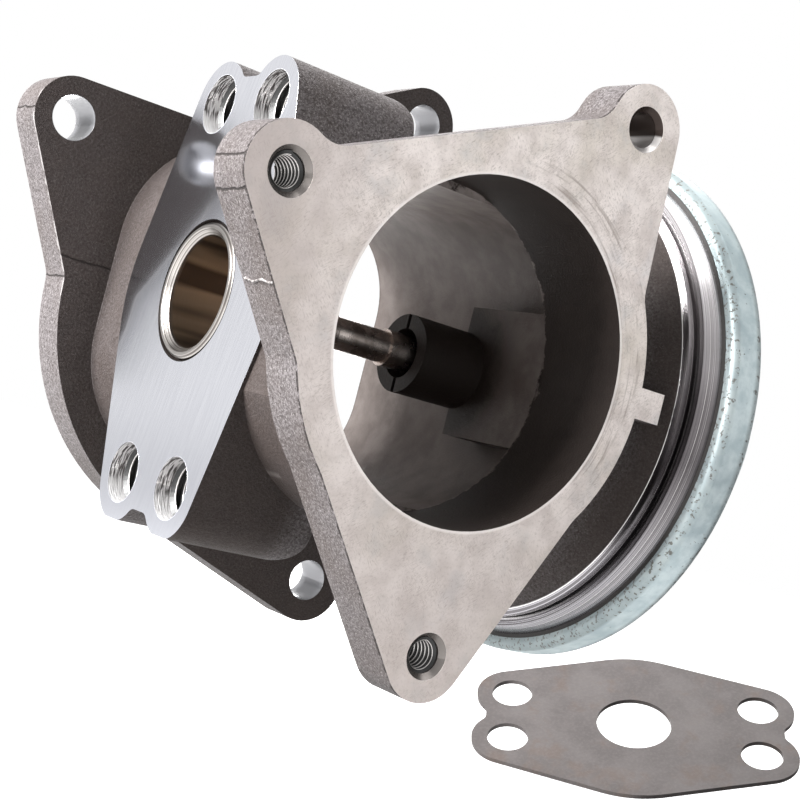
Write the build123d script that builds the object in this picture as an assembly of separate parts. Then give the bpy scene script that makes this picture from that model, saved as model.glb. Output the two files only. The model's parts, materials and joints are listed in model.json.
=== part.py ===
from build123d import *
import os
from math import cos, pi, radians, sin

# A vacuum-worked exhaust gas recirculation valve, in millimetres.
# X runs along the valve stem towards the actuator, Y along the air duct from the
# front flange to the rear flange, Z up. The origin is the centre of the front air
# bore, on the front flange's machined face.

# Air duct
bore_r = 28.5
front_to_stem = 44.0
stem_to_rear = 47.0
front_core_depth = 20.0
duct_wall = 4.5
rear_open_width = 63.0
rear_open_height = 59.0
rear_open_corner = 20.0
rear_open_shift = 6.5
core_draft = 2.0
core_overlap = 8.0

# Front flange: holes are (x, z), and feet are where an ear meets the rim, in degrees
front_flange_t = 9.5
front_rim = 6.1
front_lobe_r = 7.6
front_holes = {"left": (-42.5, 16.9), "right": (21.3, 44.3), "bottom": (3.4, -48.8)}
front_feet = {"left": (150, 180), "right": (75, 30), "bottom": (225, 320)}
front_web_r = 2.7
front_thread_r = 3.0
front_countersink_r = 3.9
front_countersink_depth = 1.0
ear_softness = 6.0
lug_width = 5.4
lug_reach = 7.0
lug_step = 3.0

# Rear flange, with its three plain holes
rear_flange_t = 9.0
rear_rim = 12.7
rear_rim_drop = 1.5
rear_holes = {"left": (-44.0, 27.2), "right": (31.5, 51.0), "bottom": (31.5, -48.5)}
rear_lobes = {"left": 7.7, "right": 7.8, "bottom": 8.7}
rear_feet = {"left": (124, 180), "right": (102, 24), "bottom": (246, 336)}
rear_hole_r = 4.2

# Gas inlet block on the duct's side, and its four tapped holes
inlet_wall = 1.6
throat_flat = 0.7
inlet_block_depth = 24.0
inlet_block_round = 4.5
inlet_spacing_y = 18.5
inlet_spacing_z = 66.8
inlet_lobe_r = 8.2
inlet_belly_r = 26.6
inlet_notch = 3.2
inlet_drop = 0.4
inlet_round = 2.4
insert_inner_r = 5.0
insert_wall = 0.4
insert_recess = 3.5
insert_length = 10.5
drill_point = 1.2

# Valve seat bush, and the boss inside the duct that holds it
seat_bore_r = 10.0
seat_wall = 2.0
seat_length = 16.2
seat_proud = 0.3
seat_lip = 1.0
seat_chamfer = 1.0
seat_groove = 0.5
seat_groove_depth = 1.2
seat_boss_wall = 3.2
seat_boss_reach = 13.0

# Valve head and stem
head_overlap = 1.4
head_gap = 0.1
head_band = 0.8
head_rivet_r = 2.3
rivet_proud = 0.6
neck_r = 3.0
neck_collar = 0.4
tulip_length = 11.0
tulip_steps = 8
stem_r = 3.5
stem_change_room = 1.3
thread_r = 2.5
running_gap = 0.05
lift = 8.0

# Guide boss, its bush, the stem seal and the seal's retainer
boss_wall = 2.0
boss_face_x = 14.4
boss_mouth_r = 4.75
boss_mouth_depth = 6.6
boss_slit = 0.9
boss_slit_depth = 4.0
guide_wall = 1.95
guide_room = 0.2
scraper_t = 1.8
seal_pocket_r = 8.0
seal_t = 3.8
seal_lip = 1.4
retainer_t = 1.0
retainer_hole_r = 4.2
pad_half_height = 12.5
pad_t = 13.8

# Actuator cup, cast with the body, and its turned rim, measured back from its end
rim_band_r = 47.4
rim_end_x = 54.2
rim_flange_t = 3.4
rim_band_length = 5.0
rim_band_taper = 1.0
rim_groove_width = 0.8
rim_groove_depth = 3.5
rim_step_length = 1.2
rim_step_depth = 2.7
rim_wall = 3.8
rim_chamfer = 0.4
cup_depth = 12.2
cup_slope = 8.6
cup_skin = 0.4
cup_cone_length = 15.4
cup_cone_rise = 15.6
turning_room = 2.0
vent_r = 1.5

# Actuator can, pressed from sheet: radii and places of its inner surface
can_t = 1.3
can_hook = 1.1
can_wall_step = 3.8
can_wall_length = 9.2
can_dome_length = 10.3
can_dome_step = 8.8
can_bend = 0.35
can_foot_bend = 1.8
can_dome_bend = 5.0
pocket_r = 20.0
pocket_rise = 3.0
rim_seal_t = 0.7
rim_seal_length = 1.4

# Diaphragm and its plates
bead_t = 1.6
sheet_t = 1.2
wave_gap = 1.4
wave_steps = 6
plate_rest = 2.0
backing_r = 22.0
backing_t = 1.2
roll_room = 11.6
piston_t = 1.2
piston_height = 10.0
piston_round = 2.0
washer_r = 5.5
washer_t = 1.0
nut_flats = 8.0
nut_t = 4.0
thread_end = 0.8

# Return spring, and the stop that sets the lift
spring_r = 15.0
spring_wire_r = 1.2
spring_turns = 5.5
stop_t = 2.0
stop_post_r = 6.5
stop_rim_gap = 1.0
stop_gap = 0.3

# Vacuum nipple
nipple_bore_r = 1.75
nipple_wall = 1.25
nipple_tip = 1.0
nipple_length = 19.0
nipple_collar_r = 4.2
nipple_collar_t = 0.8

# Loose inlet gasket, which lies apart from the valve
gasket_t = 1.2
gasket_overhang = 1.5
gasket_hole_r = 5.5
gasket_centre = (163.5, 109.6, -73.0)
gasket_long_axis = (0.725, -0.661, 0.191)
gasket_normal = (-0.481, -0.287, 0.828)

# Places that follow from the sizes above
through = 1.0
front_rim_r = bore_r + front_rim
rear_y = front_to_stem + stem_to_rear
rear_rim_r = rear_open_width / 2 + rear_rim
inlet_face_x = -bore_r - inlet_wall
insert_outer_r = insert_inner_r + insert_wall
seat_outer_r = seat_bore_r + seat_wall
seat_boss_r = seat_outer_r + seat_boss_wall
seat_start_x = inlet_face_x - seat_proud
seat_end_x = seat_start_x + seat_length
head_r = seat_bore_r + head_overlap
head_face_x = seat_end_x - seat_chamfer + head_gap
head_back_x = head_face_x + head_r - seat_bore_r + head_band
tulip_end_x = head_back_x + tulip_length
rim_flange_x = rim_end_x - rim_flange_t
rim_band_x = rim_flange_x - rim_band_length
rim_groove_x = rim_band_x - rim_groove_width
rim_step_x = rim_groove_x - rim_step_length
rim_groove_r = rim_band_r - rim_groove_depth
rim_step_r = rim_band_r - rim_step_depth
cup_wall_r = rim_band_r - rim_wall
cup_floor_r = cup_wall_r - cup_slope
cup_floor_x = rim_end_x - cup_depth
cup_cone_end_x = rim_step_x - cup_skin
cup_cone_end_r = cup_wall_r - cup_skin
cup_cone_x = cup_cone_end_x - cup_cone_length
cup_cone_r = cup_cone_end_r - cup_cone_rise
pad_face_x = cup_floor_x - pad_t
retainer_x = cup_floor_x - retainer_t
seal_x = retainer_x - seal_t
guide_r = stem_r + running_gap + guide_wall
boss_r = guide_r + boss_wall
guide_start_x = boss_face_x + boss_mouth_depth
guide_end_x = seal_x - guide_room
stem_change_x = guide_start_x - scraper_t - lift - stem_change_room
stem_shoulder_x = cup_floor_x + plate_rest
sheet_x = stem_shoulder_x + backing_t
piston_x = sheet_x + sheet_t
piston_r = cup_wall_r - roll_room
washer_x = piston_x + piston_t
nut_x = washer_x + washer_t
stem_end_x = nut_x + nut_t + thread_end
can_lip_r = rim_band_r + rim_seal_t
rim_flange_r = can_lip_r + can_hook
can_skirt_r = rim_flange_r + can_t
can_flange_x = rim_end_x + bead_t
can_wall_r = cup_wall_r - can_wall_step
can_shoulder_x = can_flange_x + can_wall_length
can_end_x = can_shoulder_x + can_dome_length
can_end_r = can_wall_r - can_dome_step
pocket_x = can_end_x + pocket_rise
nipple_r = nipple_bore_r + nipple_wall


# Shared shapes
def across(y):
    """A plane facing the front, with its own x and y along X and Z."""
    return Plane((0, y, 0), (1, 0, 0), (0, -1, 0))


def facing(x):
    """A plane square to the stem, with its own x and y along Y and Z."""
    return Plane((x, front_to_stem, 0), (0, 1, 0), (1, 0, 0))


def turned(*points):
    """A body turned about the stem line, from (x, radius) points."""
    return spun(make_face(Polyline(*points, close=True)))


def spun(section):
    """A section drawn as (x, radius) and turned about the stem line."""
    return Pos(0, front_to_stem, 0) * revolve(section, Axis.X)


def rod(start, end, radius, inner=0):
    """A round bar or a tube along the stem line."""
    ring = Circle(radius) - Circle(inner) if inner else Circle(radius)
    return extrude(facing(start) * ring, end - start)


def drilled(y, depth, radius, place):
    """A drill along Y, from y towards the rear."""
    return extrude(across(y) * Pos(*place) * Circle(radius), -depth)


def ear(place, radius, rim, rim_r, feet):
    """A flange's ear: a round end drawn out to its two feet on the rim."""
    turns = [radians(foot) for foot in feet]
    ends = [(rim[0] + rim_r * cos(turn), rim[1] + rim_r * sin(turn)) for turn in turns]
    tip = Pos(*place) * Circle(radius)
    return make_hull(tip.edges() + ShapeList([Line(*ends).edge()]))


def softened(outline, radius):
    """Rounds an outline's inward corners."""
    return offset(offset(outline, radius), -radius)


# Front flange, with the lug beside the actuator cup
def front_web(first, second, radius):
    """The straight web between two of the front flange's ears."""
    ends = [Pos(*front_holes[name]) * Circle(radius) for name in (first, second)]
    return make_hull(ends[0].edges() + ends[1].edges())


def front_outline():
    outline = Circle(front_rim_r)
    for name, place in front_holes.items():
        outline += ear(place, front_lobe_r, (0, 0), front_rim_r, front_feet[name])
    outline += front_web("left", "bottom", front_lobe_r) + front_web("left", "right", front_web_r)
    return softened(outline, ear_softness)


def front_flange():
    return extrude(across(0) * front_outline(), -front_flange_t)


def side_lug():
    start = bore_r + duct_wall / 2
    corner = (Align.MIN, Align.MIN, Align.CENTER)
    tooth = Box(bore_r + duct_wall + lug_reach - start, front_flange_t, lug_width, align=corner)
    rib = Box(cup_cone_end_x - start, front_to_stem - bore_r, lug_width, align=corner)
    return Pos(start, 0, 0) * tooth + Pos(start, lug_step, 0) * rib


# Air duct and rear flange
def rear_core(grow=0.0):
    """The opening at the rear face, or its outer wall when grown."""
    width = rear_open_width + 2 * grow
    height = rear_open_height + 2 * grow
    return Pos(rear_open_shift, 0) * RectangleRounded(width, height, rear_open_corner + grow)


def duct_outside():
    """A round throat, flattened beside the gas inlet, and the drafted duct behind it."""
    outer_r = bore_r + duct_wall
    throat = drilled(through, front_core_depth + core_overlap, outer_r, (0, 0))
    edge = (Align.MAX, Align.CENTER, Align.CENTER)
    throat -= Pos(inlet_face_x + throat_flat, 0, 0) * Box(outer_r, 2 * rear_y, 2 * outer_r, align=edge)
    depth = rear_y - front_core_depth + duct_wall
    return throat + extrude(across(rear_y) * rear_core(duct_wall), depth, taper=core_draft)


def rear_outline():
    rim = (rear_open_shift, -rear_rim_drop)
    outline = Pos(*rim) * Circle(rear_rim_r)
    for name, place in rear_holes.items():
        outline += ear(place, rear_lobes[name], rim, rear_rim_r, rear_feet[name])
    return softened(outline, ear_softness)


def rear_flange():
    return extrude(across(rear_y) * rear_outline(), rear_flange_t)


# Gas inlet block
def inlet_places():
    return GridLocations(inlet_spacing_y, inlet_spacing_z, 2, 2)


def inlet_outline(grow=0.0):
    """Four lobes drawn tight round a belly, with a notch between the lobes of each end."""
    lobes = [spot * Circle(inlet_lobe_r + grow) for spot in inlet_places()]
    outline = make_hull(sum((lobe.edges() for lobe in lobes), Circle(inlet_belly_r + grow).edges()))
    notch_z = inlet_spacing_z / 2 + inlet_lobe_r + grow - inlet_notch
    notch = Rectangle(inlet_spacing_y, inlet_notch, align=(Align.CENTER, Align.MIN))
    outline -= Pos(0, notch_z) * notch
    outline -= Pos(0, -notch_z) * Rot(0, 0, 180) * notch
    for lobe in lobes:
        outline += lobe
    return softened(outline, inlet_round)


def inlet_block():
    """The block, with its far corners rounded as seen along the duct."""
    height = inlet_spacing_z + 2 * inlet_lobe_r
    view = RectangleRounded(2 * inlet_block_depth, height, inlet_block_round)
    rounded = extrude(across(0) * Pos(inlet_face_x, 0) * view, -rear_y)
    outline = Pos(0, -inlet_drop) * inlet_outline()
    return rounded & extrude(facing(inlet_face_x) * outline, inlet_block_depth)


# Actuator cup
def cup_outside():
    return turned(
        (cup_cone_x, 0),
        (cup_cone_x, cup_cone_r),
        (cup_cone_end_x, cup_cone_end_r),
        (rim_step_x, rim_step_r),
        (rim_groove_x, rim_step_r),
        (rim_groove_x, rim_groove_r),
        (rim_band_x, rim_groove_r),
        (rim_band_x, rim_band_r - rim_band_taper),
        (rim_flange_x - rim_seal_length, rim_band_r),
        (rim_flange_x, rim_band_r),
        (rim_flange_x, rim_flange_r - rim_chamfer),
        (rim_flange_x + rim_chamfer, rim_flange_r),
        (rim_end_x, rim_flange_r),
        (rim_end_x, 0),
    )


def cup_hollow():
    mouth = rim_end_x + through
    return turned(
        (cup_floor_x, 0),
        (cup_floor_x, cup_floor_r),
        (cup_floor_x + cup_wall_r - cup_floor_r, cup_wall_r),
        (mouth, cup_wall_r),
        (mouth, 0),
    )


# Cast body
def cast_outside():
    """The raw casting, turned clear round the cup's rim."""
    casting = front_flange() + side_lug() + duct_outside() + rear_flange() + inlet_block()
    casting -= rod(rim_step_x, can_end_x, can_skirt_r + turning_room)
    return casting + cup_outside()


def cast_hollow():
    """The air way: a round front core, and a tapered rear core with its bosses left in."""
    front = drilled(-through, front_core_depth + through, bore_r, (0, 0))
    rear = extrude(across(rear_y) * rear_core(), rear_y - front_core_depth, taper=core_draft)
    corner = (Align.MIN, Align.MAX, Align.CENTER)
    pad = Box(rear_open_width, 2 * front_to_stem, 2 * pad_half_height, align=corner)
    rear -= Pos(pad_face_x, front_to_stem, 0) * pad
    rear -= rod(boss_face_x, cup_floor_x, boss_r)
    rear -= rod(inlet_face_x, inlet_face_x + seat_boss_reach, seat_boss_r)
    return front + rear


def stem_way():
    """Everything bored along the stem line, from the inlet face to the cup."""
    way = rod(inlet_face_x - through, seat_end_x + through, seat_outer_r)
    way += rod(inlet_face_x - through, inlet_face_x + seat_groove_depth, seat_outer_r + seat_groove)
    way += rod(boss_face_x - through, guide_start_x, boss_mouth_r)
    way += rod(guide_start_x, guide_end_x, guide_r)
    way += rod(guide_start_x, cup_floor_x + through, retainer_hole_r)
    way += rod(seal_x, cup_floor_x + through, seal_pocket_r)
    centre = (Align.MIN, Align.CENTER, Align.CENTER)
    slit = Box(boss_slit_depth + through, boss_slit, 2 * boss_r + through, align=centre)
    return way + Pos(boss_face_x - through, front_to_stem, 0) * slit


def front_holes_cut():
    level = (Align.CENTER, Align.CENTER, Align.MAX)
    sink = Cone(front_thread_r, front_countersink_r, front_countersink_depth, align=level)
    cut = Part()
    for place in front_holes.values():
        cut += drilled(-through, front_flange_t + 2 * through, front_thread_r, place)
        cut += across(0) * Pos(*place) * sink
    return cut


def housing():
    body = cast_outside() - cast_hollow() - cup_hollow() - stem_way() - front_holes_cut()
    rear_start = rear_y - rear_flange_t - through
    for place in rear_holes.values():
        body -= drilled(rear_start, rear_flange_t + 2 * through, rear_hole_r, place)
    drill_depth = insert_recess + insert_length + drill_point
    for spot in inlet_places():
        body -= extrude(facing(inlet_face_x) * spot * Circle(insert_outer_r), drill_depth)
    vent_x = (rim_band_x + rim_flange_x - rim_seal_length) / 2
    vent = Cylinder(vent_r, 2 * (rim_band_r - cup_floor_r), rotation=(90, 0, 0))
    return body - Pos(vent_x, front_to_stem + rim_band_r, 0) * vent


# Seat bush and thread inserts
def valve_seat():
    return turned(
        (seat_start_x, seat_bore_r + seat_lip),
        (seat_start_x, seat_outer_r - seat_groove),
        (seat_start_x + seat_groove, seat_outer_r),
        (seat_end_x, seat_outer_r),
        (seat_end_x, seat_bore_r + seat_chamfer),
        (seat_end_x - seat_chamfer, seat_bore_r),
        (seat_start_x + seat_lip, seat_bore_r),
    )


def inlet_thread_inserts():
    ring = Circle(insert_outer_r) - Circle(insert_inner_r)
    plane = facing(inlet_face_x + insert_recess)
    return Part(children=[extrude(plane * spot * ring, insert_length) for spot in inlet_places()])


# Valve head and stem
def valve_head():
    """A tulip: a seating cone, a short band, then a back that sweeps in to the neck."""
    neck = neck_r + neck_collar
    back = []
    for step in range(tulip_steps + 1):
        turn = step / tulip_steps * pi / 2
        x = head_back_x + tulip_length * (1 - cos(turn))
        back.append((x, neck + (head_r - neck) * (1 - sin(turn))))
    return turned(
        (head_face_x, head_rivet_r),
        (head_face_x, seat_bore_r),
        (head_face_x + head_r - seat_bore_r, head_r),
        *back,
        (tulip_end_x, head_rivet_r),
    )


def valve_stem():
    return turned(
        (head_face_x - rivet_proud, 0),
        (head_face_x - rivet_proud, head_rivet_r),
        (tulip_end_x, head_rivet_r),
        (tulip_end_x, neck_r),
        (stem_change_x, neck_r),
        (stem_change_x, stem_r),
        (stem_shoulder_x, stem_r),
        (stem_shoulder_x, thread_r),
        (stem_end_x, thread_r),
        (stem_end_x, 0),
    )


# Guide bush, scraper, seal and retainer
def guide_bush():
    return rod(guide_start_x, guide_end_x, guide_r, stem_r + running_gap)


def stem_scraper():
    return rod(guide_start_x - scraper_t, guide_start_x, boss_mouth_r, stem_r + running_gap)


def stem_seal():
    return turned(
        (seal_x, stem_r + seal_lip),
        (seal_x, seal_pocket_r),
        (retainer_x, seal_pocket_r),
        (retainer_x, stem_r + seal_lip),
        (retainer_x - seal_lip, stem_r + running_gap),
        (seal_x + seal_lip, stem_r + running_gap),
    )


def seal_retainer():
    return rod(retainer_x, cup_floor_x, seal_pocket_r, retainer_hole_r)


# Diaphragm stack on the stem's thread
def backing_plate():
    return rod(stem_shoulder_x, sheet_x, backing_r, thread_r)


def diaphragm():
    """A flat centre, one wave out to the rim, and a bead clamped under the can."""
    inner = piston_r + wave_gap
    reach = cup_wall_r - inner - sheet_t
    under, above = [], []
    for step in range(wave_steps + 1):
        share = step / wave_steps
        rise = (1 - cos(pi * share)) / 2
        under.append((sheet_x + (rim_end_x - sheet_x) * rise, inner + sheet_t + reach * share))
        above.append((piston_x + (can_flange_x - piston_x) * rise, inner + reach * share))
    return turned(
        (sheet_x, thread_r),
        *under,
        (rim_end_x, rim_flange_r),
        (can_flange_x - rim_chamfer, rim_flange_r),
        (can_flange_x, rim_flange_r - rim_chamfer),
        *reversed(above),
        (piston_x, thread_r),
    )


def piston_cup():
    inner_r = piston_r - piston_t
    return turned(
        (piston_x, thread_r),
        (piston_x, piston_r - piston_round),
        (piston_x + piston_round, piston_r),
        (piston_x + piston_height, piston_r),
        (piston_x + piston_height, inner_r),
        (piston_x + piston_round + piston_t / 2, inner_r),
        (washer_x, piston_r - piston_round - piston_t / 2),
        (washer_x, thread_r),
    )


def nut_washer():
    return rod(washer_x, nut_x, washer_r, thread_r)


def stem_nut():
    hexagon = RegularPolygon(nut_flats / 2, 6, major_radius=False) - Circle(thread_r)
    return extrude(facing(nut_x) * hexagon, nut_t)


# Actuator can, its rim seal, the stop and the nipple
def nipple_place():
    return Pos(0, front_to_stem, (can_end_r + pocket_r) / 2)


def actuator_can():
    """Sheet of one thickness: a lip rolled behind the rim, a skirt, a wall and a pocket."""
    inside = FilletPolyline(
        (rim_flange_x, can_lip_r),
        (rim_flange_x, rim_flange_r),
        (can_flange_x, rim_flange_r),
        (can_flange_x, can_wall_r),
        (can_shoulder_x, can_wall_r),
        (can_end_x, can_end_r),
        (can_end_x, pocket_r),
        (pocket_x, pocket_r - pocket_rise),
        (pocket_x, 0),
        radius=[
            can_bend,
            can_bend,
            can_foot_bend,
            can_dome_bend,
            can_dome_bend,
            can_foot_bend,
            can_foot_bend,
        ],
    )
    section = make_face(offset(inside, can_t, side=Side.LEFT))
    hole = Cylinder(nipple_r, can_t + 2 * through, rotation=(0, 90, 0))
    return spun(section) - nipple_place() * Pos(can_end_x + can_t / 2, 0, 0) * hole


def rim_seal():
    return rod(rim_flange_x - rim_seal_length, rim_flange_x, can_lip_r, rim_band_r)


def lift_stop():
    """A plate that backs the spring in the can's pocket, and a post that stops the stem."""
    plate = rod(pocket_x - stop_t, pocket_x, pocket_r - pocket_rise - stop_rim_gap)
    return plate + rod(stem_end_x + lift + stop_gap, pocket_x, stop_post_r)


def vacuum_nipple():
    outside = can_end_x + can_t
    end = outside + nipple_length
    profile = Polyline(
        (can_end_x, nipple_bore_r),
        (can_end_x, nipple_r),
        (outside, nipple_r),
        (outside, nipple_collar_r),
        (outside + nipple_collar_t, nipple_collar_r),
        (outside + nipple_collar_t, nipple_r),
        (end - nipple_tip, nipple_r),
        (end, nipple_r - nipple_tip / 2),
        (end, nipple_bore_r),
        close=True,
    )
    return nipple_place() * revolve(make_face(profile), Axis.X)


# Return spring
def return_spring():
    start = washer_x + spring_wire_r
    length = pocket_x - stop_t - spring_wire_r - start
    path = Helix(length / spring_turns, length, spring_r)
    wire = Plane(path @ 0, z_dir=path % 0) * Circle(spring_wire_r)
    return Pos(start, front_to_stem, 0) * Rot(0, 90, 0) * sweep(wire, path)


# Loose gasket
def inlet_gasket():
    sheet = inlet_outline(gasket_overhang) - Circle(seat_bore_r)
    for spot in inlet_places():
        sheet -= spot * Circle(gasket_hole_r)
    place = Plane(gasket_centre, gasket_long_axis, gasket_normal)
    return extrude(place * Rot(0, 0, 90) * sheet, gasket_t)


pieces = {
    "housing": housing(),
    "valve_seat": valve_seat(),
    "inlet_thread_inserts": inlet_thread_inserts(),
    "valve_head": valve_head(),
    "valve_stem": valve_stem(),
    "guide_bush": guide_bush(),
    "stem_scraper": stem_scraper(),
    "stem_seal": stem_seal(),
    "seal_retainer": seal_retainer(),
    "backing_plate": backing_plate(),
    "diaphragm": diaphragm(),
    "piston_cup": piston_cup(),
    "nut_washer": nut_washer(),
    "stem_nut": stem_nut(),
    "return_spring": return_spring(),
    "lift_stop": lift_stop(),
    "rim_seal": rim_seal(),
    "actuator_can": actuator_can(),
    "vacuum_nipple": vacuum_nipple(),
    "inlet_gasket": inlet_gasket(),
}

os.makedirs("parts", exist_ok=True)
for name, piece in pieces.items():
    export_step(piece, f"parts/{name}.step")
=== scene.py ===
import json
import math

import bmesh
import bpy
from mathutils import Matrix, Vector


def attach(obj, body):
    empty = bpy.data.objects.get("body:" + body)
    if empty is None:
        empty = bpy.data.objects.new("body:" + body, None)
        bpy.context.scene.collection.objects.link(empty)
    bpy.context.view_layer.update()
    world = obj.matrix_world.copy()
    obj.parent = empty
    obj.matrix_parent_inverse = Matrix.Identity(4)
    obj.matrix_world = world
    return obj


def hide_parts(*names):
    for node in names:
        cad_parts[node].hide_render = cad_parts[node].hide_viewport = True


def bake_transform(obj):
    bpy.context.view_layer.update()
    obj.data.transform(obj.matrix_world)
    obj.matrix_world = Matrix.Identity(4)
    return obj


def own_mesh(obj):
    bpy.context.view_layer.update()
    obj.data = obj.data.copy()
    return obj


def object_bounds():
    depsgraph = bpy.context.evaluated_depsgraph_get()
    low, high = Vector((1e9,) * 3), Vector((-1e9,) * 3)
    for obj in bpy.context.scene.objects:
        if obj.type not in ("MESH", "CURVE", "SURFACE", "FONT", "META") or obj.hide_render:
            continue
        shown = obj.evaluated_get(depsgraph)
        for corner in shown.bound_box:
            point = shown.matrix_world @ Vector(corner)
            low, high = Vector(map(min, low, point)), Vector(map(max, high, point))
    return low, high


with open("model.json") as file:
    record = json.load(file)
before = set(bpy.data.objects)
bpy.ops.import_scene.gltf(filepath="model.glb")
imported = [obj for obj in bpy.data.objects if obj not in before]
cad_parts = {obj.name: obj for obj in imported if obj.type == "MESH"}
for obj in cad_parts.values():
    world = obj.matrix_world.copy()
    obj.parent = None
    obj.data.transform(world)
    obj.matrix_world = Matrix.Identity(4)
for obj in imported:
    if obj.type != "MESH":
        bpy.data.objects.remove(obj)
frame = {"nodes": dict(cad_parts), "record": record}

# The valve's looks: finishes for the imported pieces, screw threads, casting flash and the studio.
# Lengths are millimetres times MM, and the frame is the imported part's own.
MM = 0.001
cad_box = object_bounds()
nodes = frame["nodes"]

# Places that the finishes and the added pieces share with the casting, in millimetres
STEM_Y = 44.0
REAR_Y = 91.0
REAR_FLANGE_Y = 82.0
BORE_R = 28.5
FRONT_CORE_DEPTH = 20.0
REAR_SHIFT = 6.5
INLET_X = -30.1
INLET_RECESS = 3.5
INSERT_LENGTH = 10.5
INSERT_PITCH = 1.5
INSERT_HOLE_R = 5.45
TAPPED_HOLE_R = 3.03
SINK_R = 3.95
SINK_DEPTH = 1.3
REAR_HOLE_R = 4.25
CAMERA_PLACE = Vector((-156.994, -205.407, -20.599))
FRONT_HOLES = ((-42.5, 16.9), (21.3, 44.3), (3.4, -48.8))
REAR_HOLES = ((-44.0, 27.2), (31.5, 51.0), (31.5, -48.5))
INLET_HOLES = tuple((STEM_Y + side * 9.25, end * 33.4) for side in (-1, 1) for end in (-1, 1))

# Thin lines across the casting's left side: height, the X that they stay left of, and the Y of both ends
MOULD_LINES = (
    (17.1, -47.5, 0.2, 9.3),
    (12.4, -47.5, 0.2, 9.3),
    (26.9, -50.6, 82.0, 90.8),
    (-1.6, -36.8, 82.0, 90.8),
    (2.1, -20.0, 81.75, 82.0),
)

# Outline of the dark shape that the milled inlet face reflects, as Y and Z on the face
SLATE = (
    (90.0, 36.0),
    (64.0, 33.0),
    (51.0, 32.0),
    (49.5, 25.0),
    (44.0, 19.5),
    (36.0, 18.5),
    (35.0, 14.0),
    (46.0, 10.0),
    (53.5, 2.5),
    (61.0, -4.0),
    (69.0, -18.0),
    (95.0, -18.0),
)


# Shader sums written as Python
class Field:
    """A shader socket that can stand in a Python expression."""

    def __init__(self, finish, socket):
        self.finish = finish
        self.socket = socket

    def sum(self, operation, *others):
        return self.finish.node("ShaderNodeMath", {"operation": operation}, (self, *others))

    def __add__(self, other):
        return self.sum("ADD", other)

    __radd__ = __add__

    def __mul__(self, other):
        return self.sum("MULTIPLY", other)

    __rmul__ = __mul__

    def __sub__(self, other):
        return self.sum("SUBTRACT", other)

    def __rsub__(self, other):
        return -1 * self + other

    def __truediv__(self, other):
        return self.sum("DIVIDE", other)

    def __abs__(self):
        return self.sum("ABSOLUTE")

    def __pow__(self, other):
        return self.sum("POWER", other)

    def most(self, other):
        return self.sum("MAXIMUM", other)

    def least(self, other):
        return self.sum("MINIMUM", other)

    def above(self, low, high):
        """0 below low, 1 above high, and smooth between."""
        settings = {"interpolation_type": "SMOOTHSTEP", "clamp": True}
        return self.finish.node("ShaderNodeMapRange", settings, (self, low, high, 0.0, 1.0))

    def below(self, low, high):
        return 1 - self.above(low, high)

    def blend(self, share, other):
        """This value where share is 0, the other where share is 1."""
        return self + share * (other - self)


class Finish:
    """A material in the making, whose patterns lie in the piece's own millimetres."""

    def __init__(self, name):
        self.material = bpy.data.materials.new(name)
        self.material.use_nodes = True
        self.tree = self.material.node_tree
        self.shader = self.tree.nodes["Principled BSDF"]
        where = self.tree.nodes.new("ShaderNodeTexCoord")
        scaled = self.tree.nodes.new("ShaderNodeVectorMath")
        scaled.operation = "SCALE"
        scaled.inputs["Scale"].default_value = 1 / MM
        self.tree.links.new(where.outputs["Object"], scaled.inputs[0])
        self.place = Field(self, scaled.outputs[0])
        split = self.tree.nodes.new("ShaderNodeSeparateXYZ")
        self.tree.links.new(scaled.outputs[0], split.inputs[0])
        self.x, self.y, self.z = (Field(self, socket) for socket in split.outputs)

    def node(self, kind, settings, values, output=0):
        """Makes a node, sets it up, then fills its sockets in order or by name."""
        made = self.tree.nodes.new(kind)
        for key, value in settings.items():
            setattr(made, key, value)
        named = values.items() if isinstance(values, dict) else enumerate(values)
        for key, value in named:
            if isinstance(value, Field):
                self.tree.links.new(value.socket, made.inputs[key])
            elif value is not None:
                made.inputs[key].default_value = value
        return Field(self, made.outputs[output])

    def point(self, x, y, z):
        return self.node("ShaderNodeCombineXYZ", {}, (x, y, z))

    def noise(self, size, detail, rough, place=None):
        """Noise with lumps of the given size in millimetres, from 0 to 1."""
        values = {
            "Vector": place or self.place,
            "Scale": 1 / size,
            "Detail": detail,
            "Roughness": rough,
        }
        return self.node("ShaderNodeTexNoise", {}, values)

    def drawn(self, stretch, turn=(0, 0, 0)):
        """The place drawn out along turned axes, for marks that run one way."""
        values = {"Vector": self.place, "Rotation": turn, "Scale": stretch}
        return self.node("ShaderNodeMapping", {"vector_type": "TEXTURE"}, values)

    def mix(self, share, first, second):
        made = self.tree.nodes.new("ShaderNodeMix")
        made.data_type = "RGBA"
        for socket, value in zip((made.inputs[0], made.inputs[6], made.inputs[7]), (share, first, second)):
            if isinstance(value, Field):
                self.tree.links.new(value.socket, socket)
            else:
                socket.default_value = value if isinstance(value, float) else (*value, 1.0)
        return Field(self, made.outputs[2])

    def bump(self, height, depth, under=None):
        """Raises the surface by height times depth, in millimetres."""
        values = {"Height": height, "Distance": depth * MM, "Strength": 1.0, "Normal": under}
        return self.node("ShaderNodeBump", {}, values)

    def paint(self, colour, roughness, metallic, normal=None):
        """Feeds the shader: links where a value varies, plain numbers where it doesn't."""
        wanted = {"Base Color": colour, "Roughness": roughness, "Metallic": metallic, "Normal": normal}
        for name, value in wanted.items():
            socket = self.shader.inputs[name]
            if isinstance(value, Field):
                self.tree.links.new(value.socket, socket)
            elif isinstance(value, tuple):
                socket.default_value = (*value, 1.0)
            elif value is not None:
                socket.default_value = value
        return self.material

    def round_distance(self, first, second, centre):
        """Distance of two coordinates from a centre."""
        across = first - centre[0]
        along = second - centre[1]
        return (across * across + along * along) ** 0.5


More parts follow.
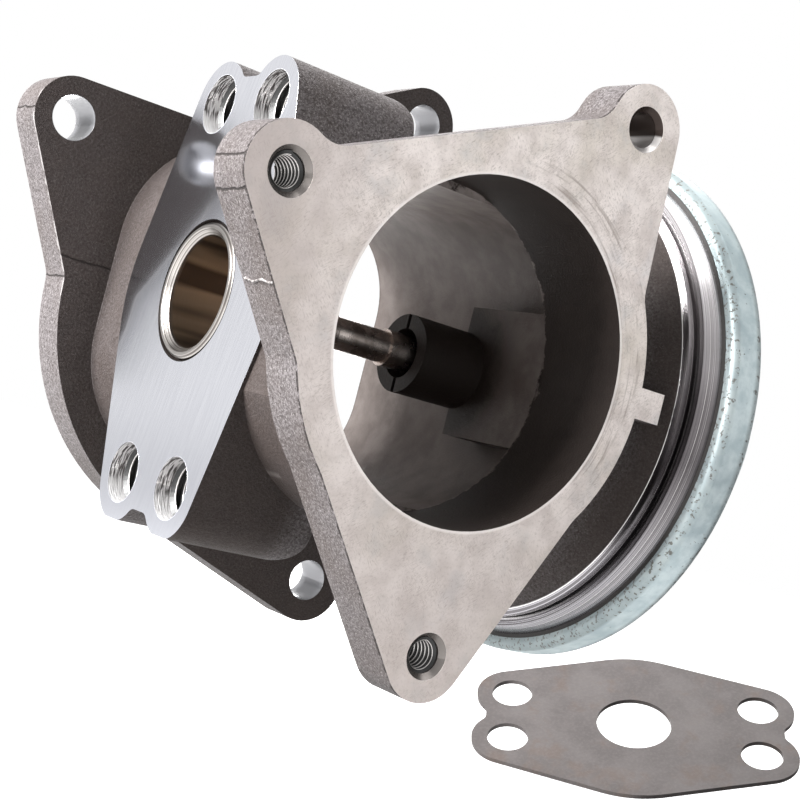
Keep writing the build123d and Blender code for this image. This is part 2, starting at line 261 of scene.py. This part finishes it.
def srgb(red, green, blue):
    """A colour on the usual scale of 0 to 255, as the shader wants it."""
    levels = (red / 255, green / 255, blue / 255)
    return tuple(v / 12.92 if v <= 0.04045 else ((v + 0.055) / 1.055) ** 2.4 for v in levels)


# Finishes
def scratched(f, angles, size, length):
    """Fine straight marks in the plane of X and Z, in a few directions, each in its own patches."""
    marks = None
    for count, angle in enumerate(angles):
        turn = (0.0, math.radians(angle), 0.0)
        lines = f.noise(size, 1.0, 0.5, place=f.drawn((1.0, 1.0, length), turn)).above(0.54, 0.72)
        patch = f.noise(7.0, 2.0, 0.5, place=f.drawn((1.0, 1.0, 1.0), (0.0, 0.0, 1.3 * (count + 1))))
        patch = patch.above(0.42, 0.6)
        marks = lines * patch if marks is None else marks.most(lines * patch)
    return marks


def cast_aluminium():
    """The casting: grainy skin, sanded front face, milled inlet face, turned rim and bores."""
    f = Finish("cast_aluminium")
    x, y, z = f.x, f.y, f.z
    stem_r = f.round_distance(y, z, (STEM_Y, 0.0))
    bore_distance = f.round_distance(x, z, (0.0, 0.0))
    grain = f.noise(0.5, 4.0, 0.7)
    lumps = f.noise(3.2, 3.0, 0.6)
    stain = f.noise(16.0, 3.0, 0.6)
    patches = f.noise(5.0, 4.0, 0.6)
    sparkle = f.noise(0.3, 1.0, 0.5).above(0.6, 0.7)

    # Raw skin, with the thin lines where the mould's halves met
    colour = f.mix(grain.above(0.3, 0.72), srgb(56, 51, 50), srgb(114, 109, 110))
    colour = f.mix(stain.above(0.35, 0.75) * 0.5, colour, srgb(66, 57, 52))
    colour = f.mix(sparkle * 0.25, colour, srgb(178, 174, 171))
    # Painted shade: the skin is darker towards the bottom.
    colour = f.mix(z.below(-62.0, -24.0) * 0.45, colour, srgb(54, 48, 46))
    # Painted shade: the cone, the rear flange's near face, the throat and the bulge face away from the
    # light, so they are painted dark brown and lose their sparkle.
    cone = stem_r.above(28.0, 36.0) * x.above(36.0, 42.0)
    rear_near = y.above(REAR_FLANGE_Y - 0.3, REAR_FLANGE_Y - 0.1) * 0.75
    rear_near = rear_near * y.below(REAR_FLANGE_Y + 0.03, REAR_FLANGE_Y + 0.1)
    throat = x.below(-14.0, -8.0) * y.above(9.6, 12.0) * y.below(36.0, 46.0) * z.below(-4.0, 6.0) * 0.85
    bulge = x.below(-18.0, -12.0) * y.above(52.0, 60.0) * 0.7
    bulge = bulge * y.below(REAR_FLANGE_Y - 0.4, REAR_FLANGE_Y - 0.3)
    cone = cone * (1 - z.below(-42.0, -22.0) * 0.6)
    painted_shade = (cone * 0.85).most(rear_near).most(throat).most(bulge)
    colour = f.mix(painted_shade, colour, f.mix(grain.blend(0.6, lumps), srgb(32, 26, 24), srgb(62, 53, 49)))
    sparkle = sparkle * (1 - painted_shade)
    nicked = y.above(REAR_FLANGE_Y + 0.05, REAR_FLANGE_Y + 0.1) * x.below(-30.0, -29.0)
    nicked = nicked * (y + (lumps - 0.5) * 4.0).below(REAR_FLANGE_Y + 0.2, REAR_FLANGE_Y + 0.5)
    colour = f.mix(nicked * z.above(-12.0, -4.0) * 0.35, colour, srgb(188, 184, 183))
    rough = 0.62 - 0.15 * sparkle
    metal = 0.2 * sparkle
    height = grain * 0.75 + lumps * 0.4
    wavy = (lumps - 0.5) * 1.2
    lines = 0.0 * x
    for level, side, near, far in MOULD_LINES:
        line = abs(z + wavy - level).below(0.08, 0.24) * x.below(side, side + 0.3)
        lines = lines.most(line * y.above(near, near + 0.2) * y.below(far, far + 0.2))
    chipped = y.above(0.06, 0.1) * y.below(0.45, 0.7) * f.noise(1.6, 2.0, 0.6).above(0.42, 0.5)
    lines = lines.most(chipped * bore_distance.above(BORE_R + 2.0, BORE_R + 2.5))
    colour = f.mix(lines * 0.85, colour, srgb(34, 29, 27))
    height = height - lines * 0.8

    # Front bore and rear core, smoother than the outside and darker round the guide boss, with painted
    # light and shade
    core = ((abs(x - REAR_SHIFT) / 32.2) ** 4 + (abs(z) / 30.6) ** 4).below(0.98, 1.0)
    in_front = bore_distance.below(BORE_R + 0.2, BORE_R + 0.3) * y.above(0.05, 0.15)
    ragged = y + (lumps - 0.5) * 3.2 + (grain - 0.5) * 1.4
    front_core = in_front * ragged.below(FRONT_CORE_DEPTH - 0.5, FRONT_CORE_DEPTH + 0.1)
    inside = core * y.above(FRONT_CORE_DEPTH - 0.1, FRONT_CORE_DEPTH) * y.below(REAR_Y - 0.3, REAR_Y - 0.1)
    inside = inside.most(in_front)
    core_skin = f.mix(patches.above(0.3, 0.7), srgb(160, 151, 147), srgb(128, 119, 115))
    core_skin = f.mix(stain.above(0.4, 0.7) * 0.5, core_skin, srgb(112, 102, 97))
    # Painted light: the core is paler towards the left.
    core_skin = f.mix(x.below(-26.0, 2.0) * 0.75, core_skin, srgb(226, 218, 214))
    # Darker round the guide boss.
    soot = (stem_r + (patches - 0.5) * 9.0).below(9.0, 18.0) * x.above(7.0, 12.0)
    core_skin = f.mix(soot, core_skin, f.mix(grain, srgb(24, 20, 18), srgb(44, 38, 35)))
    # Painted shade: the core is darker towards the right.
    core_skin = f.mix(x.above(12.0, 30.0) * 0.55, core_skin, srgb(52, 45, 42))
    colour = f.mix(inside, colour, core_skin)
    # Painted shade: the front bore's first 20 mm is painted dark.
    colour = f.mix(front_core, colour, f.mix(patches, srgb(34, 29, 27), srgb(52, 45, 42)))
    rough = rough.blend(inside, 0.5)
    metal = (metal * (1 - inside)).blend(inside * x.below(-14.0, 6.0) * (1 - front_core), 0.3)
    height = height * (1 - inside * 0.65)

    # Drilled, tapped and countersunk holes
    bright = 0.0 * x
    painted_light_below = 0.0 * x
    drilled = 0.0 * x
    threaded = 0.0 * x
    sink = 0.0 * x
    for hole in FRONT_HOLES:
        near = f.round_distance(x, z, hole)
        sunk = y.below(SINK_DEPTH, SINK_DEPTH + 0.05)
        sink = sink.most(near.below(SINK_R - 0.03, SINK_R + 0.03) * sunk)
        threaded = threaded.most(near.below(3.15, 3.2) * (1 - sunk) * y.below(10.2, 10.4))
    for hole in REAR_HOLES:
        near = f.round_distance(x, z, hole).below(REAR_HOLE_R - 0.03, REAR_HOLE_R + 0.03)
        drilled = drilled.most(near * y.above(REAR_FLANGE_Y - 0.4, REAR_FLANGE_Y - 0.2))
    for hole in INLET_HOLES:
        near = f.round_distance(y, z, hole).below(INSERT_HOLE_R - 0.03, INSERT_HOLE_R + 0.03)
        entry = x.below(INLET_X + INLET_RECESS + 0.3, INLET_X + INLET_RECESS + 0.4)
        bright = bright.most(near * entry)
        # Painted light on the lower walls of the inlet holes' entries.
        painted_light_below = painted_light_below.most(near * entry * z.below(hole[1] - 2.5, hole[1] - 0.5))
        threaded = threaded.most(near * (1 - entry) * x.below(-14.0, -13.6))
    right_hole = f.round_distance(x, z, FRONT_HOLES[1])
    right_z = FRONT_HOLES[1][1]
    plain_hole = right_hole.below(SINK_R - 0.03, SINK_R + 0.03) * y.above(0.06, 0.1)
    # Painted light and shade: the right hole is pale in its lower half and dark in its upper half.
    painted_hole_light_and_shade = f.mix(z.below(right_z - 0.4, right_z + 0.2), srgb(58, 49, 45), srgb(214, 210, 208))
    groove = stem_r.below(12.55, 12.6) * x.below(INLET_X + 1.3, INLET_X + 1.4)

    # Sanded front and rear faces
    turned = stem_r.above(43.25, 43.32) * x.above(43.42, 43.5)
    front_face = y.below(0.02, 0.05) * (1 - turned)
    rear_face = y.above(REAR_Y - 0.05, REAR_Y - 0.02) * (1 - turned)
    marks = scratched(f, (38.0, 52.0, -40.0), 0.17, 6.0)
    arcs = f.noise(0.7, 2.0, 0.6, place=f.point(bore_distance, x * 0.06, z * 0.06)).above(0.5, 0.7)
    arcs = arcs * bore_distance.below(32.0, 36.0) * (x + z * 0.4).above(8.0, 20.0)
    cool = f.noise(8.0, 3.0, 0.6).above(0.5, 0.72)
    sanded = f.mix(patches.above(0.35, 0.7), srgb(232, 224, 220), srgb(206, 197, 193))
    sanded = f.mix(stain.above(0.45, 0.7) * 0.5, sanded, srgb(192, 183, 168))
    sanded = f.mix(cool * 0.45, sanded, srgb(189, 189, 193))
    sanded = f.mix(grain.above(0.5, 0.75) * 0.55, sanded, srgb(150, 140, 135))
    sanded = f.mix(marks * 0.45, sanded, srgb(136, 125, 118))
    sanded = f.mix(arcs * 0.55, sanded, srgb(128, 116, 108))
    # Painted shade: the sanded face is darker towards the bottom and towards the left.
    sanded = f.mix(z.below(-64.0, 20.0) * 0.6, sanded, srgb(160, 150, 146))
    sanded = f.mix(x.below(-50.0, -18.0) * 0.75, sanded, srgb(170, 160, 157))
    sanded = f.mix(bore_distance.below(BORE_R + 0.25, BORE_R + 0.6) * 0.6, sanded, srgb(236, 231, 228))

    # Milled inlet face and the rim, turned in one setting with its groove
    inlet_face = x.below(INLET_X + 0.02, INLET_X + 0.05) * y.above(12.0, 12.1) * y.below(79.9, 80.0)
    milling = f.noise(0.35, 1.0, 0.5, place=f.drawn((1.0, 1.0, 30.0), (math.radians(12), 0.0, 0.0)))
    milled = f.mix(milling.above(0.4, 0.6) * 0.4, srgb(222, 223, 229), srgb(206, 207, 215))
    # Painted shade: the milled face is darker towards the bottom.
    milled = f.mix(z.below(-44.0, -14.0) * 0.75, milled, srgb(160, 161, 168))
    rings = f.noise(0.22, 1.0, 0.4, place=f.point(x, stem_r, 0.0))
    # Painted reflection: the rim is bright at the top, dark lower down and lighter again at the bottom,
    # with dark streaks on its turning rings and thin bright ring glints.
    rim = f.mix(z.above(0.0, 32.0), srgb(98, 94, 96), srgb(212, 208, 210))
    rim = f.mix(z.below(-36.0, -8.0) * 0.6, rim, srgb(182, 180, 184))
    painted_dark_streak = f.mix(z.above(-10.0, 30.0), srgb(62, 58, 59), srgb(150, 146, 146))
    rim = f.mix(rings.above(0.46, 0.56) * 0.7, rim, painted_dark_streak)
    thin = f.noise(0.16, 1.0, 0.4, place=f.point(x, stem_r * 0.2, 0.0)).above(0.58, 0.66)
    rim = f.mix(thin * 0.7, rim, srgb(226, 223, 222))

    machined = turned.most(bright).most(sink).most(drilled).most(plain_hole)
    faces = front_face.most(rear_face)
    colour = f.mix(turned, colour, rim)
    turning = f.noise(0.3, 1.0, 0.4, place=f.point(x, y * 0.15, z * 0.15))
    entry_tint = f.mix(turning.above(0.4, 0.6), srgb(242, 240, 240), srgb(104, 100, 99))
    # Painted light: the entries' lower walls paler.
    entry_tint = f.mix(painted_light_below * 0.8, entry_tint, srgb(246, 245, 245))
    colour = f.mix(bright, colour, entry_tint)
    colour = f.mix(drilled, colour, srgb(146, 146, 149))
    colour = f.mix(sink, colour, srgb(116, 111, 108))
    # Painted shade: the tapped holes' walls are near black.
    colour = f.mix(threaded, colour, srgb(20, 18, 17))
    colour = f.mix(plain_hole, colour, painted_hole_light_and_shade)
    colour = f.mix(faces, colour, sanded)
    colour = f.mix(inlet_face, colour, milled)
    colour = f.mix(groove, colour, srgb(40, 34, 32))
    rough = rough.blend(machined, 0.26).blend(threaded, 0.4).blend(faces, 0.5).blend(inlet_face, 0.13)
    metal = metal.blend(turned.most(inlet_face), 1.0).blend(bright.most(drilled), 0.5).blend(sink, 0.7)
    metal = metal.blend(threaded, 0.2).blend(plain_hole, 0.4).blend(faces, 0.7)
    flat = machined.most(inlet_face).most(faces).most(threaded)
    height = height * (1 - flat) + turned * rings * 0.05 + bright * turning * 0.3
    height = height + front_face * (patches * 0.08 - marks * 0.04 - arcs * 0.04)
    f.shader.inputs["Specular IOR Level"].default_value = 0.15
    return f.paint(colour, rough, metal, f.bump(height, 0.35))


def turned_steel():
    """Bush: a turned lip, and a bore with a brown heat tint, painted in light and dark bands along its
    length as highlights.
    """
    f = Finish("turned_steel")
    stem_r = f.round_distance(f.y, f.z, (STEM_Y, 0.0))
    heated = stem_r.below(10.3, 10.6) * f.x.above(-29.6, -28.6)
    # Painted highlight: light and dark bands along the bore.
    painted_highlight_band = f.noise(5.5, 2.0, 0.5, place=f.drawn((12.0, 1.0, 1.0)))
    tint = f.mix(painted_highlight_band.above(0.4, 0.6), srgb(160, 142, 122), srgb(76, 65, 56))
    rings = f.noise(0.3, 1.0, 0.4, place=f.point(f.x, stem_r, 0.0))
    lip = f.mix(rings.above(0.4, 0.6), srgb(160, 156, 152), srgb(92, 87, 84))
    colour = f.mix(heated, lip, tint)
    return f.paint(colour, 0.28 + heated * 0.1, 1.0, f.bump(rings, 0.03))


def dark_steel():
    """Stem and valve head: ground steel, dark with soot."""
    f = Finish("dark_steel")
    soot = f.noise(5.0, 4.0, 0.6)
    colour = f.mix(soot.above(0.3, 0.7), srgb(206, 196, 190), srgb(126, 116, 110))
    rings = f.noise(0.25, 1.0, 0.4, place=f.drawn((1.0, 40.0, 40.0)))
    return f.paint(colour, 0.2 + soot * 0.14, 1.0, f.bump(rings, 0.01))


def thread_steel(name, holes, axis, crest_r, worn):
    """Tapped threads: crests painted bright as a highlight, over roots painted near black as shade."""
    f = Finish(name)
    across = f.x if axis == "y" else f.y
    distances = [f.round_distance(across, f.z, hole) for hole in holes]
    nearest = distances[0]
    for other in distances[1:]:
        nearest = nearest.least(other)
    crest = nearest.below(crest_r, crest_r + worn)
    # Painted highlight on the crests, painted shade in the roots.
    colour = f.mix(crest, srgb(12, 11, 11), srgb(206, 202, 200))
    return f.paint(colour, 0.4 - crest * 0.1, crest * 0.7)


def zinc_plate():
    """Pale blue zinc on pressed sheet, mottled, with a few dark specks at its edges, and painted shade
    towards its top, its bottom and its edges.
    """
    f = Finish("zinc_plate")
    stem_r = f.round_distance(f.y, f.z, (STEM_Y, 0.0))
    mottle = f.noise(2.6, 5.0, 0.65)
    cloud = f.noise(11.0, 3.0, 0.6)
    edge = f.x.below(50.4, 51.4).most(f.x.above(54.6, 55.6) * stem_r.above(48.6, 49.2))
    specks = (f.noise(0.8, 3.0, 0.6) + edge * 0.115).above(0.68, 0.73)
    colour = f.mix(mottle.above(0.3, 0.7), srgb(170, 184, 188), srgb(196, 207, 209))
    colour = f.mix(cloud.above(0.45, 0.75) * 0.6, colour, srgb(140, 155, 162))
    # Painted shade: darker towards the top, the bottom and the edges.
    colour = f.mix(f.z.above(4.0, 46.0) * 0.55, colour, srgb(118, 131, 132))
    colour = f.mix(f.z.below(-52.0, -22.0) * 0.45, colour, srgb(118, 131, 132))
    colour = f.mix(edge * 0.45, colour, srgb(96, 100, 98))
    colour = f.mix(specks * 0.8, colour, srgb(66, 58, 50))
    return f.paint(colour, 0.44 + mottle * 0.2, 0.8 - specks * 0.7, f.bump(mottle, 0.05))


def gasket_sheet():
    """Coated sheet steel, satin, with faint rolling marks."""
    f = Finish("gasket_sheet")
    cloud = f.noise(14.0, 4.0, 0.6)
    fine = f.noise(0.8, 3.0, 0.6)
    colour = f.mix(cloud.above(0.3, 0.7), srgb(92, 87, 86), srgb(78, 73, 72))
    colour = f.mix(f.noise(9.0, 3.0, 0.6).above(0.52, 0.7) * 0.5, colour, srgb(88, 74, 66))
    colour = f.mix(fine.above(0.4, 0.7) * 0.3, colour, srgb(106, 100, 99))
    return f.paint(colour, 0.5 + fine * 0.1, 0.5, f.bump(fine, 0.02))


def black_rubber():
    f = Finish("black_rubber")
    fine = f.noise(0.6, 3.0, 0.6)
    colour = f.mix(fine, srgb(26, 24, 23), srgb(40, 37, 35))
    return f.paint(colour, 0.6 + fine * 0.2, 0.0, f.bump(fine, 0.04))


def bronze():
    f = Finish("bronze")
    pores = f.noise(0.5, 3.0, 0.6)
    colour = f.mix(pores.above(0.4, 0.6), srgb(176, 138, 84), srgb(138, 102, 60))
    return f.paint(colour, 0.4 + pores * 0.2, 0.9, f.bump(pores, 0.03))


def moulded_plastic():
    f = Finish("moulded_plastic")
    fine = f.noise(0.8, 2.0, 0.5)
    colour = f.mix(fine, srgb(36, 35, 36), srgb(48, 47, 48))
    return f.paint(colour, 0.45 + fine * 0.15, 0.0, f.bump(fine, 0.02))


finishes = {
    "cast_body": cast_aluminium(),
    "seat_steel": turned_steel(),
    "insert_steel": thread_steel("insert_thread_steel", INLET_HOLES, "x", 4.56, 0.08),
    "stem_steel": dark_steel(),
    "bush_bronze": bronze(),
    "seal_rubber": black_rubber(),
    "zinc_steel": zinc_plate(),
    "spring_steel": dark_steel(),
    "stop_plastic": moulded_plastic(),
    "can_steel": zinc_plate(),
    "gasket_steel": gasket_sheet(),
}
for part in frame["record"]["subparts"]:
    piece = nodes[part["node"]]
    piece.data.materials.clear()
    piece.data.materials.append(finishes[part["material_slot"]])


# Pieces that change shape as the valve lifts
def softened(node, name):
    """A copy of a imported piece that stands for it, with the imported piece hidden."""
    piece = bpy.data.objects.new(name, nodes[node].data.copy())
    bpy.context.scene.collection.objects.link(piece)
    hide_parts(node)
    return piece


spring = softened("return_spring", "coil_spring")
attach(spring, "valve_body")
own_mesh(spring)

# The diaphragm's copy, with its placing baked into its mesh
sheet = softened("diaphragm", "rolling_diaphragm")
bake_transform(sheet)


# Screw threads
def thread_tree():
    """Geometry nodes for one inward screw thread along Z, from its named sizes."""
    tree = bpy.data.node_groups.new("screw_thread", "GeometryNodeTree")
    inputs = {
        "Wall Radius": "NodeSocketFloat",
        "Depth": "NodeSocketFloat",
        "Pitch": "NodeSocketFloat",
        "Turns": "NodeSocketFloat",
        "Crest Share": "NodeSocketFloat",
        "Steps a Turn": "NodeSocketInt",
        "Steel": "NodeSocketMaterial",
    }
    for name, kind in inputs.items():
        tree.interface.new_socket(name, in_out="INPUT", socket_type=kind)
    tree.interface.new_socket("Thread", in_out="OUTPUT", socket_type="NodeSocketGeometry")

    def made(kind, values, **settings):
        node = tree.nodes.new(kind)
        for key, value in settings.items():
            setattr(node, key, value)
        for key, value in values.items():
            if isinstance(value, bpy.types.NodeSocket):
                tree.links.new(value, node.inputs[key])
            else:
                node.inputs[key].default_value = value
        return node

    def maths(operation, first, second):
        return made("ShaderNodeMath", {0: first, 1: second}, operation=operation).outputs[0]

    given = tree.nodes.new("NodeGroupInput").outputs
    middle = maths("SUBTRACT", given["Wall Radius"], maths("DIVIDE", given["Depth"], 2.0))
    helix = made("GeometryNodeCurveSpiral", {
        "Resolution": given["Steps a Turn"],
        "Rotations": given["Turns"],
        "Start Radius": middle,
        "End Radius": middle,
        "Height": maths("MULTIPLY", given["Turns"], given["Pitch"]),
    })
    upright = made("GeometryNodeSetCurveNormal", {"Curve": helix.outputs[0]}, mode="Z_UP")
    ridge = made("GeometryNodeCurvePrimitiveQuadrilateral", {
        "Height": given["Depth"],
        "Bottom Width": maths("MULTIPLY", given["Pitch"], 0.94),
        "Top Width": maths("MULTIPLY", given["Pitch"], given["Crest Share"]),
        "Offset": 0.0,
    }, mode="TRAPEZOID")
    crest_inward = (0.0, 0.0, -math.pi / 2)
    turned = made("GeometryNodeTransform", {"Geometry": ridge.outputs[0], "Rotation": crest_inward})
    swept = made("GeometryNodeCurveToMesh", {
        "Curve": upright.outputs[0], "Profile Curve": turned.outputs[0], "Fill Caps": True,
    })
    whole = made("GeometryNodeRealizeInstances", {"Geometry": swept.outputs[0]})
    coloured = made("GeometryNodeSetMaterial", {"Geometry": whole.outputs[0], "Material": given["Steel"]})
    made("NodeGroupOutput", {"Thread": coloured.outputs[0]})
    return tree


def thread_mesh(tree, wall_r, depth, pitch, turns, crest_share, steel):
    """One thread as a plain mesh, with the modifier that made it removed."""
    holder = bpy.data.objects.new("thread_holder", bpy.data.meshes.new("thread_holder"))
    bpy.context.scene.collection.objects.link(holder)
    modifier = holder.modifiers.new("thread", "NODES")
    modifier.node_group = tree
    sizes = {
        "Wall Radius": wall_r * MM,
        "Depth": depth * MM,
        "Pitch": pitch * MM,
        "Turns": turns,
        "Crest Share": crest_share,
        "Steps a Turn": 40,
        "Steel": steel,
    }
    for item in tree.interface.items_tree:
        if item.in_out == "INPUT":
            modifier[item.identifier] = sizes[item.name]
    graph = bpy.context.evaluated_depsgraph_get()
    mesh = bpy.data.meshes.new_from_object(holder.evaluated_get(graph), depsgraph=graph)
    bpy.data.objects.remove(holder)
    return mesh


def threads(name, mesh, places, along, start_angle):
    """Copies of one thread, each starting at its place and running along an axis, as one piece."""
    turn = Vector(along).to_track_quat("Z", "Y").to_matrix().to_4x4()
    turn = turn @ Matrix.Rotation(math.radians(start_angle), 4, "Z")
    joined = bmesh.new()
    for place in places:
        copy = mesh.copy()
        copy.transform(Matrix.Translation(Vector(place) * MM) @ turn)
        joined.from_mesh(copy)
        bpy.data.meshes.remove(copy)
    bmesh.ops.remove_doubles(joined, verts=joined.verts, dist=0.001 * MM)
    bmesh.ops.recalc_face_normals(joined, faces=joined.faces)
    return finished(name, joined, mesh.materials[0], "valve_body")


def finished(name, shape, material, body):
    """Makes a bmesh a piece of the object, with its finish and its body."""
    mesh = bpy.data.meshes.new(name)
    shape.to_mesh(mesh)
    shape.free()
    mesh.materials.clear()
    mesh.materials.append(material)
    for face in mesh.polygons:
        face.material_index = 0
        face.use_smooth = False
    piece = bpy.data.objects.new(name, mesh)
    bpy.context.scene.collection.objects.link(piece)
    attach(piece, body)
    return piece


tree = thread_tree()
flange_steel = thread_steel("flange_thread_steel", FRONT_HOLES, "y", 2.48, 0.06)
flange_thread = thread_mesh(
    tree, wall_r=TAPPED_HOLE_R, depth=0.6, pitch=1.0, turns=7.85, crest_share=0.08, steel=flange_steel
)
# The right hole looks plain in the photograph
front_starts = [(x, 1.15, z) for x, z in (FRONT_HOLES[0], FRONT_HOLES[2])]
threads("front_flange_threads", flange_thread, front_starts, (0, 1, 0), 90.0)
insert_lead = 1.4  # how far the turns start in front of the insert
insert_turns = (INSERT_LENGTH + insert_lead - INSERT_PITCH) / INSERT_PITCH
insert_thread = thread_mesh(
    tree, wall_r=INSERT_HOLE_R, depth=0.95, pitch=INSERT_PITCH, turns=insert_turns, crest_share=0.1,
    steel=finishes["insert_steel"],
)
insert_start = INLET_X + INLET_RECESS - insert_lead + INSERT_PITCH / 2
insert_starts = [(insert_start, y, z) for y, z in INLET_HOLES]
threads("inlet_insert_threads", insert_thread, insert_starts, (1, 0, 0), 180.0)


# Casting flash
def flash_ridge():
    """A ragged ridge of metal that the mould's joint left across the front flange's left side."""
    along = Vector((0.5727, 0.0, -0.8197))
    out = Vector((-0.8197, 0.0, -0.5727))
    hole_x, hole_z = FRONT_HOLES[0]
    start = Vector((hole_x, 0.5, hole_z)) + out * 7.6 + along * 14.3
    steps = 24
    shape = bmesh.new()
    rows = []
    for step in range(steps + 1):
        share = step / steps
        ragged = 0.5 + 0.25 * math.sin(23.0 * share) + 0.25 * math.sin(57.0 * share + 1.0)
        ends = min(1.0, 8.0 * share, 8.0 * (1.0 - share))
        middle = start + Vector((0.0, 8.6 * share, 0.0)) + along * (0.22 * math.sin(11.0 * share + 0.6))
        half = 0.16 + 0.16 * ragged
        tall = (0.12 + 0.38 * ragged) * (0.15 + 0.85 * ends)
        low = -0.12
        corners = ((-half, low), (-half * 0.35, tall), (half * 0.3, tall * 0.8), (half, low))
        rows.append([shape.verts.new((middle + along * a + out * b) * MM) for a, b in corners])
    for near, far in zip(rows, rows[1:]):
        for side in range(4):
            after = (side + 1) % 4
            shape.faces.new((near[side], near[after], far[after], far[side]))
    shape.faces.new(rows[0])
    shape.faces.new(rows[-1])
    bmesh.ops.recalc_face_normals(shape, faces=shape.faces)
    return finished("flash_ridge", shape, flash_metal(), "valve_body")


def flash_metal():
    """Torn metal, paler than the casting's skin."""
    f = Finish("flash_metal")
    fine = f.noise(0.5, 3.0, 0.6)
    colour = f.mix(fine.above(0.35, 0.65), srgb(158, 154, 153), srgb(84, 78, 76))
    return f.paint(colour, 0.4 + fine * 0.15, 0.3, f.bump(fine, 0.08))


flash_ridge()


# Studio
def lamp(name, place, target, size, power):
    light = bpy.data.lights.new(name, "AREA")
    light.shape = "RECTANGLE"
    light.size, light.size_y = size
    light.energy = power
    made = bpy.data.objects.new(name, light)
    made.location = place
    made.rotation_euler = (Vector(target) - Vector(place)).to_track_quat("-Z", "Y").to_euler()
    bpy.context.scene.collection.objects.link(made)


def seen_by_eye(tree):
    """1 for what the camera, metal and glass see, 0 for the light that falls on surfaces."""
    path = tree.nodes.new("ShaderNodeLightPath")
    seen = path.outputs["Is Camera Ray"]
    for other in ("Is Glossy Ray", "Is Transmission Ray"):
        either = tree.nodes.new("ShaderNodeMath")
        either.operation = "MAXIMUM"
        tree.links.new(seen, either.inputs[0])
        tree.links.new(path.outputs[other], either.inputs[1])
        seen = either.outputs[0]
    return seen


def plane(name, corners, material):
    """A flat sheet for the studio, made from its corners and given a material, not attached to any of the
    object's bodies.
    """
    mesh = bpy.data.meshes.new(name)
    mesh.from_pydata(corners, [], [tuple(range(len(corners)))])
    mesh.materials.append(material)
    made = bpy.data.objects.new(name, mesh)
    bpy.context.scene.collection.objects.link(made)
    return made


def dark_card(name, corners, level):
    """A dark card out of view, which only polished metal reflects."""
    paint = bpy.data.materials.new(name)
    paint.use_nodes = True
    shader = paint.node_tree.nodes["Principled BSDF"]
    shader.inputs["Base Color"].default_value = (0.0, 0.0, 0.0, 1.0)
    shader.inputs["Specular IOR Level"].default_value = 0.0
    shader.inputs["Emission Color"].default_value = (*level, 1.0)
    shader.inputs["Emission Strength"].default_value = 1.0
    made = plane(name, corners, paint)
    made.visible_camera = False
    made.visible_diffuse = False
    made.visible_shadow = False


def studio():
    scene = bpy.context.scene
    world = bpy.data.worlds.new("studio")
    scene.world = world
    world.use_nodes = True
    tree = world.node_tree
    plain = tree.nodes["Background"]
    plain.inputs["Color"].default_value = (1.0, 1.0, 1.0, 1.0)
    plain.inputs["Strength"].default_value = 0.18
    white = tree.nodes.new("ShaderNodeBackground")
    white.inputs["Color"].default_value = (1.0, 1.0, 1.0, 1.0)
    white.inputs["Strength"].default_value = 1.0
    both = tree.nodes.new("ShaderNodeMixShader")
    tree.links.new(seen_by_eye(tree), both.inputs[0])
    tree.links.new(plain.outputs[0], both.inputs[1])
    tree.links.new(white.outputs[0], both.inputs[2])
    tree.links.new(both.outputs[0], tree.nodes["World Output"].inputs["Surface"])

    paint = bpy.data.materials.new("floor_white")
    paint.use_nodes = True
    tree = paint.node_tree
    shader = tree.nodes["Principled BSDF"]
    shader.inputs["Base Color"].default_value = (0.4, 0.4, 0.4, 1.0)
    shader.inputs["Roughness"].default_value = 0.9
    shader.inputs["Emission Strength"].default_value = 1.0
    glow = tree.nodes.new("ShaderNodeMix")
    glow.data_type = "RGBA"
    glow.inputs[6].default_value = (0.0, 0.0, 0.0, 1.0)
    glow.inputs[7].default_value = (0.85, 0.85, 0.85, 1.0)
    tree.links.new(seen_by_eye(tree), glow.inputs[0])
    tree.links.new(glow.outputs[2], shader.inputs["Emission Color"])
    half = 3.0
    level = cad_box[0][2] - 1.5 * MM
    corners = [(-half, -half, level), (half, -half, level), (half, half, level), (-half, half, level)]
    plane("floor", corners, paint)

    middle = (0, STEM_Y * MM, 0)
    lamp("key_left", (-0.62, 0.10, 0.26), middle, (0.4, 0.4), 22.0)
    lamp("top_soft", (0.1, 0.05, 0.7), middle, (0.7, 0.7), 4.0)
    lamp("front_fill", (0.05, -0.65, 0.1), middle, (0.6, 0.5), 0.5)
    lamp("back_fill", (0.5, 0.55, 0.3), middle, (0.5, 0.5), 3.5)
    lamp("bore_fill", (0.26, 0.62, 0.04), (-0.02, 0.02, -0.02), (0.25, 0.25), 3.5)
    mirrored = Vector((2 * INLET_X - CAMERA_PLACE.x, CAMERA_PLACE.y, CAMERA_PLACE.z)) * MM
    slate = [mirrored + (Vector((INLET_X, y, z)) * MM - mirrored) * 4.0 for y, z in SLATE]
    dark_card("slate_card", slate, (0.03, 0.029, 0.038))
    low = level + 1.0 * MM
    corners = [(0.15, -0.46, low), (0.65, -0.46, low), (0.65, 0.14, low), (0.15, 0.14, low)]
    dark_card("rim_card_low", corners, (0.07, 0.07, 0.073))


def camera():
    """The photograph's camera, found from the flange holes, bores and stem."""
    lens = bpy.data.cameras.new("camera")
    lens.sensor_width = 36.0
    lens.lens = 73.236
    lens.clip_start = 0.01
    made = bpy.data.objects.new("camera", lens)
    right = Vector((0.789474652, -0.562002472, 0.246744797))
    up = Vector((-0.224620757, 0.109576281, 0.968265746))
    back = Vector((-0.571205120, -0.819845266, -0.039729725))
    turn = Matrix((right, up, back)).transposed()
    made.matrix_world = Matrix.Translation(CAMERA_PLACE * MM) @ turn.to_4x4()
    bpy.context.scene.collection.objects.link(made)
    bpy.context.scene.camera = made


studio()
camera()
bpy.context.scene.view_settings.view_transform = "Standard"
